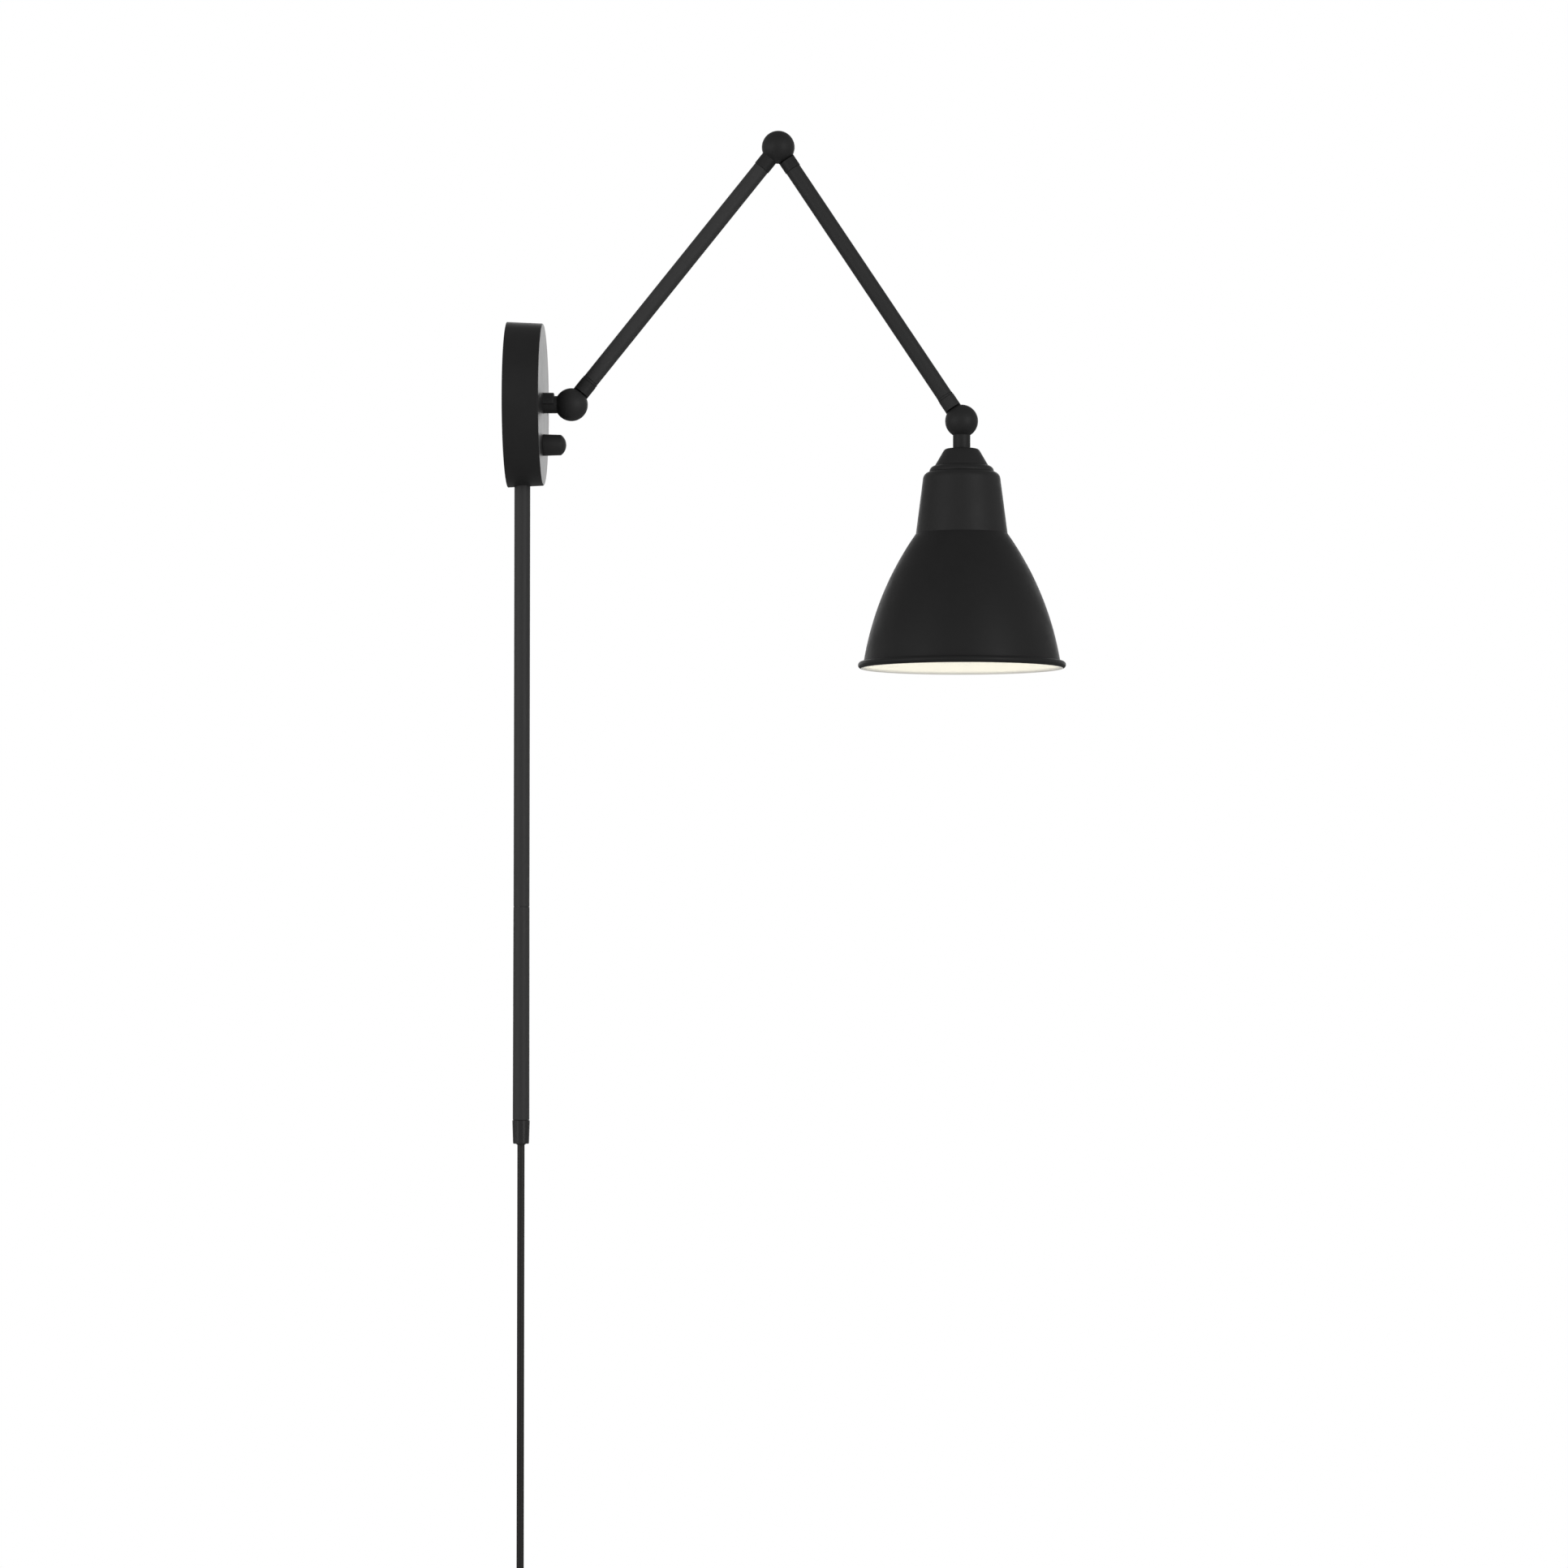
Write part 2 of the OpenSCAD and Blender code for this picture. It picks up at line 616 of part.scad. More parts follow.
// Domed disc between the cap and the cup
module cap_ring() color(BLACK) translate(shade_pivot) {
    rise = disc_z[0] - disc_z[1];
    lathe(concat(
        [[nipple_r[1], disc_z[1]], [disc_r - 0.3, disc_z[1]]],
        [for (a = [8:9:89])
            [disc_flat_r + (disc_r - disc_flat_r) * cos(a), disc_z[1] + rise * sin(a)]],
        [[disc_flat_r, disc_z[0]], [nipple_r[1], disc_z[0]]]));
}

module socket_cup() color(BLACK) translate(shade_pivot) {
    c = [cup_r[0] - cup_shoulder_r, cup_z[0] - cup_shoulder_r - 0.3];
    inner = cup_shoulder_r - shade_wall;
    lathe(concat(
        [[nipple_r[1], cup_z[0]], [18.3, cup_z[0]]],
        arc(c, cup_shoulder_r, 90, 7, 10),
        [[cup_r[1], cup_z[1] + 0.4], [cup_r[1] - 0.4, cup_z[1]], [cup_r[1] - shade_wall, cup_z[1]]],
        arc(c, inner, 7, 90, 10),
        [[18.3, cup_z[0] - shade_wall], [nipple_r[1], cup_z[0] - shade_wall]]));
}

module nipple() color(BRASS) translate(shade_pivot) difference() {
    rod_z(nipple_z, nipple_r[1]);
    rod_z([nipple_z[0] + over, nipple_z[1] - over], nipple_r[0]);
}

module nipple_nut() color(BRASS) translate(shade_pivot + [0, 0, nipple_nut_z[1]]) difference() {
    hex(nipple_nut_flats, nipple_nut_z[0] - nipple_nut_z[1]);
    translate([0, 0, -over]) cylinder(r = nipple_r[1], h = 8);
}

module lampholder_cap() color(PHENOLIC) translate(shade_pivot) lathe(concat(
    [[nipple_r[1], holder_cap_z[0]], [8, holder_cap_z[0]]],
    arc([holder_r - 6, holder_cap_z[0] - 8], 6, 70, 0, 6),
    [[holder_r, holder_cap_z[1]], [holder_r - 2.5, holder_cap_z[1]],
        [holder_r - 2.5, holder_cap_z[1] + 5], [nipple_r[1], holder_cap_z[1] + 5]]));

module lampholder_body() color(PHENOLIC) translate(shade_pivot) lathe([
    [4, holder_floor_z + 3], [10, holder_floor_z + 3], [10, holder_z[0]], [holder_r, holder_z[0]],
    [holder_r, holder_flange_z[0]], [holder_flange_r, holder_flange_z[0]],
    [holder_flange_r, holder_flange_z[1]], [holder_thread_r, holder_flange_z[1]],
    [holder_thread_r, holder_z[1] + 0.8], [holder_thread_r - 0.8, holder_z[1]],
    [holder_bore_r, holder_z[1]], [holder_bore_r, holder_floor_z], [4, holder_floor_z],
]);

module screw_shell() color(BRASS) translate(shade_pivot) difference() {
    rod_z(shell_z, shell_r[1]);
    rod_z([shell_z[0] + over, shell_z[1] - over], shell_r[0]);
}

module centre_contact() color(BRASS) translate(shade_pivot) lathe([
    [0, holder_floor_z - 2.6], [2.6, holder_floor_z - 2.6], [3.2, holder_floor_z - 1],
    [3.9, holder_floor_z], [3.9, holder_floor_z + 3], [0, holder_floor_z + 3],
]);

module shade_ring() color(PHENOLIC) translate(shade_pivot) difference() {
    rod_z(clamp_ring_z, clamp_ring_r);
    rod_z([clamp_ring_z[0] + over, clamp_ring_z[1] - over], holder_thread_r);
    for (a = [0:45:315]) rotate(a) translate([clamp_ring_r + 0.6, 0, 0])
        rod_z([clamp_ring_z[0] + over, clamp_ring_z[1] - over], 2);
}

// Centre of the bell's curve, so that it passes through its top and its mouth
bell_mouth = [bell_mouth_d / 2, bell_top_z - bell_depth];
bell_top = [bell_top_r, bell_top_z];
bell_chord = bell_mouth - bell_top;
bell_centre = (bell_top + bell_mouth) / 2
    - sqrt(bell_curve_r * bell_curve_r - pow(norm(bell_chord) / 2, 2))
    * unit([-bell_chord[1], bell_chord[0]]);
bell_from = atan2(bell_top[1] - bell_centre[1], bell_top[0] - bell_centre[0]);
bell_to = atan2(bell_mouth[1] - bell_centre[1], bell_mouth[0] - bell_centre[0]);

// Bell with a collar that fits in the cup, and a rim rolled outward into an open bead
module shade() color(BLACK) translate(shade_pivot) rotate_extrude($fn = 96) {
    w = shade_wall;
    bead = bell_mouth + [2, -4.2];
    polygon(concat(
        [[bell_plate_hole_r, bell_plate_z], [bell_collar_r - 1, bell_plate_z],
            [bell_collar_r, bell_plate_z - 1], [bell_collar_r, bell_top_z + 0.3]],
        arc(bell_centre, bell_curve_r, bell_from, bell_to, bell_steps),
        arc(bead, bead_r - bead_wall, 140, 477, 24),
        arc(bead, bead_r, 477, 184, 24),
        arc(bell_centre, bell_curve_r - w, bell_to, bell_from, bell_steps),
        [[bell_collar_r - w, bell_top_z + 0.3], [bell_collar_r - w, bell_plate_z - w - 0.4],
            [bell_collar_r - w - 0.4, bell_plate_z - w], [bell_plate_hole_r, bell_plate_z - w]]));
}

module bulb_base() color(STEEL) translate(shade_pivot) lathe([
    [0, holder_floor_z - 2.7], [4, holder_floor_z - 2.7], [5, bulb_base_z[0] + 0.5],
    [bulb_base_r - 1.5, bulb_base_z[0]], [bulb_base_r, bulb_base_z[0] - 1.5],
    [bulb_base_r, bulb_base_z[1]], [bulb_base_r - 0.8, bulb_base_z[1]],
    [bulb_base_r - 0.8, bulb_base_z[0] - 2], [0, bulb_base_z[0] - 2],
]);

// Side of the globe, thinned by t: a sphere that runs into a straight neck through a waist
bulb_waist_angle = 38;
function globe_side(t) = let (
    r = bulb_globe_r - t,
    ca = cos(bulb_waist_angle),
    sa = sin(bulb_waist_angle),
    a = [r * ca, bulb_globe_z + r * sa],
    d = [bulb_neck_r - t, bulb_base_z[1]],
    b = a + 13 * [-sa, ca],
    c = d - [0, 16]
) concat(
    [[0, bulb_globe_z - r]],
    arc([0, bulb_globe_z], r, -84, bulb_waist_angle, 20),
    [for (i = [1:9]) let (k = i / 9, j = 1 - k)
        j * j * j * a + 3 * j * j * k * b + 3 * j * k * k * c + k * k * k * d]);

module bulb_globe() color(OPAL) translate(shade_pivot) {
    inner = globe_side(bulb_wall);
    lathe(concat(globe_side(0), [for (i = [len(inner) - 1:-1:0]) inner[i]]));
}

// ---- Free cord ----

module cord_run() color(RUBBER) swept(smooth(RUN, run_steps), cord_r, cord_sides);

module cord_tail() color(RUBBER) swept(smooth(TAIL, tail_steps), cord_r, cord_sides, [1, 0, 0]);

// Outer shape of the coil's turns
module cord_coil() color(RUBBER) translate([coil_centre[0], coil_centre[1], cord_rest_z])
    lathe(let (a = coil_r[0] - cord_r, b = coil_r[1] + cord_r, h = coil_layers * cord_d,
        e = coil_edge_r) concat(
            arc([b - e, e], e, -90, 0, 4), arc([b - e, h - e], e, 0, 90, 4),
            arc([a + e, h - e], e, 90, 180, 4), arc([a + e, e], e, 180, 270, 4)));

module cord_tie() {
    depth = coil_r[1] - coil_r[0] + cord_d;
    h = coil_layers * cord_d;
    color(RUBBER) translate([coil_centre[0], coil_centre[1] + (coil_r[0] + coil_r[1]) / 2,
        cord_rest_z + h / 2]) difference() {
            cube([tie_w, depth + 2 * tie_wall, h + 2 * tie_wall], center = true);
            cube([tie_w + over, depth, h], center = true);
        }
}

// Moulded plug: tapered relief, rounded body and two blades, the second one wider
module plug() translate(plug_at) {
    color(RUBBER) {
        along_x() difference() {
            cylinder(r1 = plug_relief_r[0], r2 = plug_relief_r[1], h = plug_relief_len + 0.5);
            for (z = [5:5:20]) translate([0, 0, z]) difference() {
                cylinder(r = 8, h = 1.6);
                translate([0, 0, -over]) cylinder(r = cord_r + 0.3 + z * 0.03, h = 4);
            }
        }
        translate([plug_relief_len, 0, 0]) along_x() linear_extrude(plug_len) plug_outline();
    }
    color(BRASS) for (side = [-1, 1]) {
        w = side < 0 ? blade_w[0] : blade_w[1];
        translate([plug_relief_len + plug_len + (blade_len - blade_root) / 2,
            side * blade_gap / 2, 0]) cube([blade_len + blade_root, blade_t, w], center = true);
    }
}

// Plug outline, made of squares and circles so that it stays exact
module plug_outline() {
    x = plug_size[1] / 2 - plug_corner_r;
    y = plug_size[0] / 2 - plug_corner_r;
    square([2 * x, plug_size[0]], center = true);
    square([plug_size[1], 2 * y], center = true);
    for (sx = [-1, 1], sy = [-1, 1]) translate([sx * x, sy * y]) circle(r = plug_corner_r);
}

canopy();
mounting_bracket();
canopy_screws();
stop_collar();
stop_ring();
switch_body();
switch_nut();
cover_tube_upper();
cover_tube_lower();
cover_coupling();
cover_nut();
cover_end_cap();
cord_grommet();
cord_grip();
mains_lead();
canopy_wires();
wire_connectors();
knob();
switch_shaft();
wall_stem();
stop_washer();
stem_washer();
stem_nut();
wall_pivot_screw();
wall_pivot_washer();
stem_lead();
lower_arm_root();
lower_arm_ring();
lower_arm_tube();
elbow_near();
elbow_pivot_screw();
elbow_pivot_washer();
lower_arm_lead();
elbow_far();
upper_arm_tube();
upper_arm_ring();
upper_arm_tip();
upper_arm_lead();
shade_stem();
shade_pivot_screw();
shade_pivot_washer();
shade_cap();
cap_ring();
socket_cup();
nipple();
nipple_nut();
lampholder_cap();
lampholder_body();
screw_shell();
centre_contact();
shade_ring();
shade();
bulb_base();
bulb_globe();
shade_lead();
cord_run();
cord_coil();
cord_tail();
cord_tie();
plug();
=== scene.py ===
# Looks of a swing arm wall sconce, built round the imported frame. Metres; +X out of the wall, +Z up.
import json
import math

import bmesh
import bpy
from mathutils import Matrix, Vector


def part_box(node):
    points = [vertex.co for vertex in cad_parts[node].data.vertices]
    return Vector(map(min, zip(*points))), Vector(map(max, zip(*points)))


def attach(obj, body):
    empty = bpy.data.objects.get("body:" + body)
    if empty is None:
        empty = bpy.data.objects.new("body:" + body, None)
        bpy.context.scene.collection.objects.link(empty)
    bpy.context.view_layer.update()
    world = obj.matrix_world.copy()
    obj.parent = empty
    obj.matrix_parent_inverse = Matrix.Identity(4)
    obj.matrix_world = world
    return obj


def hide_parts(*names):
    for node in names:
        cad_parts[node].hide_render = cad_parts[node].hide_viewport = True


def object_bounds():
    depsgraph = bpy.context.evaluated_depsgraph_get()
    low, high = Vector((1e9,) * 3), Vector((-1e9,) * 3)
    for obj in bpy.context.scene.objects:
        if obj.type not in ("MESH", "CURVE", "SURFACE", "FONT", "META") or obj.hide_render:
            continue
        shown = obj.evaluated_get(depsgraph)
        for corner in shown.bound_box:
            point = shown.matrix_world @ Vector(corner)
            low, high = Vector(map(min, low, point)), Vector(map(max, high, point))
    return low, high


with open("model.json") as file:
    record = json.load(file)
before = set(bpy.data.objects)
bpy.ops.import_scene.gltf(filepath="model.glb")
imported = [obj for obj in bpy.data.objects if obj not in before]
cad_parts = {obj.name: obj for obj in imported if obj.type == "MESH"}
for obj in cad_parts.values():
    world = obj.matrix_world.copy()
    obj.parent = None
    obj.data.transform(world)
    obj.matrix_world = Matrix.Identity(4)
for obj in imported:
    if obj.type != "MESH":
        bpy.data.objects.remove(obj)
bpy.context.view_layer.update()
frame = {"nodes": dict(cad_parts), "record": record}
nodes = frame["nodes"]
MM = 0.001
scene = bpy.context.scene


def mm(*v):
    return Vector(v) * MM


# ---- Camera ----

cam_data = bpy.data.cameras.new("camera")
cam_data.sensor_width = 36
cam_data.lens = 112.28
cam_data.clip_start, cam_data.clip_end = 0.1, 50
camera = bpy.data.objects.new("camera", cam_data)
scene.collection.objects.link(camera)
camera.location = (0.29, -3.81, -0.445)
aim = Vector((0.21626, 0, -0.29729))
camera.rotation_mode = "QUATERNION"
camera.rotation_quaternion = (aim - camera.location).to_track_quat("-Z", "Y")
scene.camera = camera

# ---- Mesh helpers ----

SHARP = 28


def link(name, data):
    o = bpy.data.objects.new(name, data)
    scene.collection.objects.link(o)
    return o


def from_bmesh(name, bm, sharp=None):
    """An object of bm, shaded smooth up to edges sharper than the angle, when one is given."""
    me = bpy.data.meshes.new(name)
    bm.to_mesh(me)
    bm.free()
    o = link(name, me)
    if sharp:
        sharpen(o, sharp)
    return o


def lathe(name, profile, origin, axis="Z", segments=128, materials=None):
    """Turns a closed profile of points (radius, height) in mm round an axis through origin."""
    bm = bmesh.new()
    rings = []
    for r, h in profile:
        if r < 1e-6:
            rings.append([bm.verts.new((0, 0, h * MM))])
            continue
        rings.append([
            bm.verts.new((r * MM * math.cos(a), r * MM * math.sin(a), h * MM))
            for a in (2 * math.pi * i / segments for i in range(segments))
        ])
    for k, (a, b) in enumerate(zip(rings, rings[1:] + rings[:1])):
        if len(a) == 1 and len(b) == 1:
            continue
        for i in range(segments):
            j = (i + 1) % segments
            if len(a) == 1:
                f = bm.faces.new((a[0], b[j], b[i]))
            elif len(b) == 1:
                f = bm.faces.new((a[i], a[j], b[0]))
            else:
                f = bm.faces.new((a[i], a[j], b[j], b[i]))
            f.smooth = True
            if materials:
                f.material_index = materials[k]
    bmesh.ops.recalc_face_normals(bm, faces=bm.faces)
    turn = {"Z": Matrix.Identity(4), "X": Matrix.Rotation(math.pi / 2, 4, "Y")}[axis]
    bm.transform(Matrix.Translation(origin) @ turn)
    return from_bmesh(name, bm, SHARP)


def skin(name, bm, rings, sharp):
    """An object of bm with faces between its rings and a flat face at each end."""
    n = len(rings[0])
    for a, b in zip(rings, rings[1:]):
        for i in range(n):
            j = (i + 1) % n
            bm.faces.new((a[i], a[j], b[j], b[i]))
    bm.faces.new(rings[0][::-1])
    bm.faces.new(rings[-1])
    bmesh.ops.recalc_face_normals(bm, faces=bm.faces)
    return from_bmesh(name, bm, sharp)


def sharpen(o, angle):
    """Marks edges sharper than angle in degrees, so that smooth shading stops there."""
    bm = bmesh.new()
    bm.from_mesh(o.data)
    limit = math.radians(angle)
    for f in bm.faces:
        f.smooth = True
    for e in bm.edges:
        e.smooth = not (len(e.link_faces) == 2 and e.calc_face_angle(0) > limit)
    bm.to_mesh(o.data)
    bm.free()


def arc(c, r, a, b, n):
    """Points of an arc about c, from angle a to angle b in degrees."""
    return [
        (c[0] + r * math.cos(math.radians(a + (b - a) * i / n)),
         c[1] + r * math.sin(math.radians(a + (b - a) * i / n)))
        for i in range(n + 1)
    ]


def smooth_path(points, steps):
    """Catmull-Rom spline through points."""
    p = [Vector(v) for v in points]
    q = [2 * p[0] - p[1]] + p + [2 * p[-1] - p[-2]]
    out = []
    for i in range(len(p) - 1):
        a, b, c, d = q[i:i + 4]
        for k in range(steps):
            t = k / steps
            out.append(b + (c - a) * t / 2 + (2 * a - 5 * b + 4 * c - d) * t * t / 2
                       + (3 * b - a - 3 * c + d) * t ** 3 / 2)
    return out + [p[-1]]


def tube(name, points, radius, sides=16):
    """A round tube swept along points in metres, with flat ends."""
    points = [Vector(p) for p in points]
    last = len(points) - 1
    bm = bmesh.new()
    rings = []
    side = None
    for i, p in enumerate(points):
        ahead = (points[min(i + 1, last)] - points[max(i - 1, 0)]).normalized()
        if side is None:
            side = ahead.orthogonal()
        side = (side - side.dot(ahead) * ahead).normalized()
        across = ahead.cross(side)
        rings.append([
            bm.verts.new(p + radius * (math.cos(a) * side + math.sin(a) * across))
            for a in (2 * math.pi * k / sides for k in range(sides))
        ])
    return skin(name, bm, rings, 50)


# ---- Cord ----

CORD_R = 2.85
FLOOR = -940
LAID_Z = FLOOR + 2.9
COVER_X = 11.5
COIL = (53.5, 36)
COIL_R = (42, 24.6)
COIL_PITCH = 5.8
RUN = [
    (COVER_X, 0, -577.3), (COVER_X, 0, -600), (COVER_X, 0, -640), (COVER_X, 0, -680),
    (COVER_X, 0, -720), (COVER_X, 0, -760), (COVER_X, 0, -800), (COVER_X, 0, -840),
    (COVER_X, 0, -880), (COVER_X, 0, -900), (COVER_X, 0, -912), (COVER_X, 1.9, -921.6),
    (COVER_X, 7.3, -929.8), (COVER_X, 15.4, -935.2), (COVER_X, 25, -937.1), (COVER_X, 36, -937.1),
]
TAIL = [
    (95.5, 36, -931.3), (95.5, 26, -931.5), (95.5, 16, -931.9), (97.8, 4.5, -932.3),
    (104.3, -5.2, -932.7), (114, -11.7, -933), (125.5, -14, -933), (135, -14, -933),
]


def coil_points():
    """6.5 turns: in along the floor, half a turn up, and out again on top."""
    out = []
    turns_in, turns_up, total, per_turn = 3, 0.5, 6.5, 40
    for k in range(1, int(total * per_turn)):
        t = k / per_turn
        if t < turns_in:
            r, lift = COIL_R[0] - COIL_PITCH * t, 0
        elif t < turns_in + turns_up:
            r, u = COIL_R[1], (t - turns_in) / turns_up
            lift = u * u * (3 - 2 * u)
        else:
            r, lift = COIL_R[1] + COIL_PITCH * (t - turns_in - turns_up), 1
        a = math.pi - 2 * math.pi * t
        out.append((COIL[0] + r * math.cos(a), COIL[1] + r * math.sin(a),
                    LAID_Z + COIL_PITCH * lift))
    return out


cord_line = [p * MM for p in
             smooth_path(RUN, 4) + [Vector(p) for p in coil_points()] + smooth_path(TAIL, 4)]
cord = tube("mains_cord", cord_line, CORD_R * MM, 20)
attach(cord, "wall_base")
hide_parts("cord_run", "cord_coil", "cord_tail")

# ---- Materials ----


def material(name, color, rough, metallic=0.0, specular=0.5, grain=900, bump=0.03,
             rough_var=0.06, color_var=0.12, sheen=0.0):
    """A shader with fine relief, uneven gloss and slight colour change, all in object space."""
    m = bpy.data.materials.new(name)
    m.use_nodes = True
    nt = m.node_tree
    bsdf = nt.nodes["Principled BSDF"]
    bsdf.inputs["Metallic"].default_value = metallic
    bsdf.inputs["Specular IOR Level"].default_value = specular
    bsdf.inputs["Sheen Weight"].default_value = sheen
    tc = nt.nodes.new("ShaderNodeTexCoord")

    def noise(scale, detail, roughness=0.5):
        n = nt.nodes.new("ShaderNodeTexNoise")
        n.inputs["Scale"].default_value = scale
        n.inputs["Detail"].default_value = detail
        n.inputs["Roughness"].default_value = roughness
        nt.links.new(tc.outputs["Object"], n.inputs["Vector"])
        return n

    cloud = noise(60, 4, 0.6)
    ramp = nt.nodes.new("ShaderNodeMapRange")
    ramp.inputs["From Min"].default_value = 0.3
    ramp.inputs["From Max"].default_value = 0.7
    ramp.inputs["To Min"].default_value = rough - rough_var
    ramp.inputs["To Max"].default_value = rough + rough_var
    nt.links.new(cloud.outputs["Fac"], ramp.inputs["Value"])
    nt.links.new(ramp.outputs["Result"], bsdf.inputs["Roughness"])
    mix = nt.nodes.new("ShaderNodeMix")
    mix.data_type = "RGBA"
    mix.inputs["A"].default_value = (*[c * (1 - color_var) for c in color], 1)
    mix.inputs["B"].default_value = (*[min(1, c * (1 + color_var)) for c in color], 1)
    nt.links.new(cloud.outputs["Fac"], mix.inputs["Factor"])
    nt.links.new(mix.outputs["Result"], bsdf.inputs["Base Color"])
    relief = nt.nodes.new("ShaderNodeBump")
    relief.inputs["Strength"].default_value = bump
    relief.inputs["Distance"].default_value = 0.0004
    fine = noise(grain, 3)
    nt.links.new(fine.outputs["Fac"], relief.inputs["Height"])
    nt.links.new(relief.outputs["Normal"], bsdf.inputs["Normal"])
    return m


def black_paint(name, tone, rough=0.5, specular=0.42, bump=0.12, rough_var=0.06):
    """The satin paint, in the tone that the light leaves on a part."""
    return material(name, (tone, tone, tone + 0.0002), rough, specular=specular, grain=1500,
                    bump=bump, rough_var=rough_var)


PAINT = black_paint("satin_black_paint", 0.039)
# A slightly lighter and glossier copy of the black paint on the canopy: the lighter tone is painted
# light.
PAINT_CANOPY_LIT = black_paint("canopy_black_paint_painted_light", 0.045, 0.38, 0.2, 0.06, 0.02)
# Lighter copies of the black paint on the arms, knuckles and cord cover: painted light.
PAINT_ARM_LIT = black_paint("arm_black_paint_painted_light", 0.056)
PAINT_COVER_LIT = black_paint("cover_black_paint_painted_light", 0.082)
# A darker copy of the black paint on the outside of the bell: painted shade.
PAINT_BELL_SHADED = black_paint("bell_black_paint_painted_shade", 0.027)
END_CAP = material("end_cap_black", (0.05, 0.05, 0.051), 0.28, grain=1800, bump=0.05)
CREAM = material("shade_white_enamel_painted_glow", (0.88, 0.865, 0.8), 0.42, grain=1100, bump=0.04,
                 color_var=0.02)
KNOB = material("knob_black", (0.057, 0.057, 0.0572), 0.48, specular=0.42, grain=1800, bump=0.1)
STEEL = material("zinc_steel", (0.56, 0.56, 0.58), 0.34, metallic=1, grain=2500, bump=0.05,
                 color_var=0.08)
BRASS = material("machined_brass", (0.72, 0.55, 0.26), 0.3, metallic=1, grain=2500, bump=0.05,
                 color_var=0.08)
PHENOLIC = material("phenolic", (0.02, 0.016, 0.014), 0.3, grain=1200, bump=0.04)
PVC = material("cord_pvc", (0.038, 0.0355, 0.0325), 0.36, grain=2600, bump=0.05)
ORANGE = material("connector_orange", (0.75, 0.24, 0.03), 0.4, grain=1500, bump=0.05)
GLASS = material("frosted_bulb", (0.93, 0.92, 0.88), 0.5, grain=3000, bump=0.05, color_var=0.01)

# Lit: the lamp, and a faint even glow on the enamel round it, which is painted light standing in for
# the lamp's light inside the bell
for glowing, power in ((GLASS, 1.85), (CREAM, 0.28)):
    bsdf = glowing.node_tree.nodes["Principled BSDF"]
    bsdf.inputs["Emission Color"].default_value = (1.0, 0.975, 0.9, 1)
    bsdf.inputs["Emission Strength"].default_value = power

SLOT_MATERIALS = {
    "black_paint": PAINT, "shade_enamel": PAINT_BELL_SHADED, "knob_plastic": KNOB, "steel": STEEL,
    "brass": BRASS, "phenolic": PHENOLIC, "cord_pvc": PVC, "orange_plastic": ORANGE,
    "bulb_glass": GLASS,
}
SLOT_OF = {s["node"]: s["material_slot"] for s in frame["record"]["subparts"]}


def paint_with(o, *materials):
    for i, m in enumerate(materials):
        if i < len(o.data.materials):
            o.data.materials[i] = m
        else:
            o.data.materials.append(m)


LOOKS = {
    "canopy": PAINT_CANOPY_LIT, "wall_stem": PAINT_ARM_LIT, "lower_arm_root": PAINT_ARM_LIT,
    "lower_arm_ring": PAINT_ARM_LIT, "lower_arm_tube": PAINT_COVER_LIT, "upper_arm_tube": PAINT_ARM_LIT,
    "upper_arm_ring": PAINT_ARM_LIT, "upper_arm_tip": PAINT_ARM_LIT, "stop_collar": PAINT_ARM_LIT,
    "cover_tube_upper": PAINT_COVER_LIT, "cover_tube_lower": PAINT_COVER_LIT, "cover_end_cap": END_CAP,
}
for name, o in nodes.items():
    paint_with(o, LOOKS.get(name, SLOT_MATERIALS[SLOT_OF[name]]))
paint_with(cord, PVC)

# ---- Shade ----


def replace(obj, node, body, slot, *looks):
    """Puts obj in a node's place on its body, with its slot's material unless looks are given."""
    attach(obj, body)
    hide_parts(node)
    paint_with(obj, *(looks or (SLOT_MATERIALS[slot],)))


lo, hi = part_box("shade")
PLATE_Z = -81.9
PIVOT = Vector(((lo[0] + hi[0]) / 2, 0, hi[2] - PLATE_Z * MM))
SEAM_Z = -88.2
WALL = 0.9
BEAD_R = 2.7


def bell_profile():
    """Bell in section, and each span's side: 0 outside, 1 inside. Heights are from the pivot."""
    top, mouth = Vector((35.75, SEAM_Z)), Vector((76.4, -186.8))
    radius = 242
    chord = mouth - top
    back = math.sqrt(radius ** 2 - (chord.length / 2) ** 2)
    centre = (top + mouth) / 2 - back * Vector((-chord.y, chord.x)).normalized()
    bead = mouth + Vector((2, -4.2))
    a0, a1 = (math.degrees(math.atan2(*(p - centre).yx)) for p in (top, mouth))
    outside = [(20.2, PLATE_Z), (32.4, PLATE_Z), (33.3, PLATE_Z - 0.35), (33.6, PLATE_Z - 1.2),
               (33.6, top.y + 0.25)]
    outside += arc(centre, radius, a0, a1, 48)
    hollow = arc(bead, BEAD_R - WALL, 140, 477, 36)
    roll = arc(bead, BEAD_R, 477, 184, 60)
    inside = arc(centre, radius - WALL, a1, a0, 48)
    inside += [(32.7, top.y - 0.3), (32.7, PLATE_Z - 1.4), (32.2, PLATE_Z - WALL),
               (20.2, PLATE_Z - WALL)]
    turn = next(i for i, q in enumerate(roll) if q[1] < bead[1] - 0.97 * BEAD_R)
    kinds = [0] * (len(outside) + len(hollow) + turn) + [1] * (len(roll) - turn + len(inside))
    return outside + hollow + roll + inside, kinds


profile, kinds = bell_profile()
bell = lathe("bell_shade", profile, PIVOT, segments=192, materials=kinds)
replace(bell, "shade", "shade_head", "shade_enamel", PAINT_BELL_SHADED, CREAM)

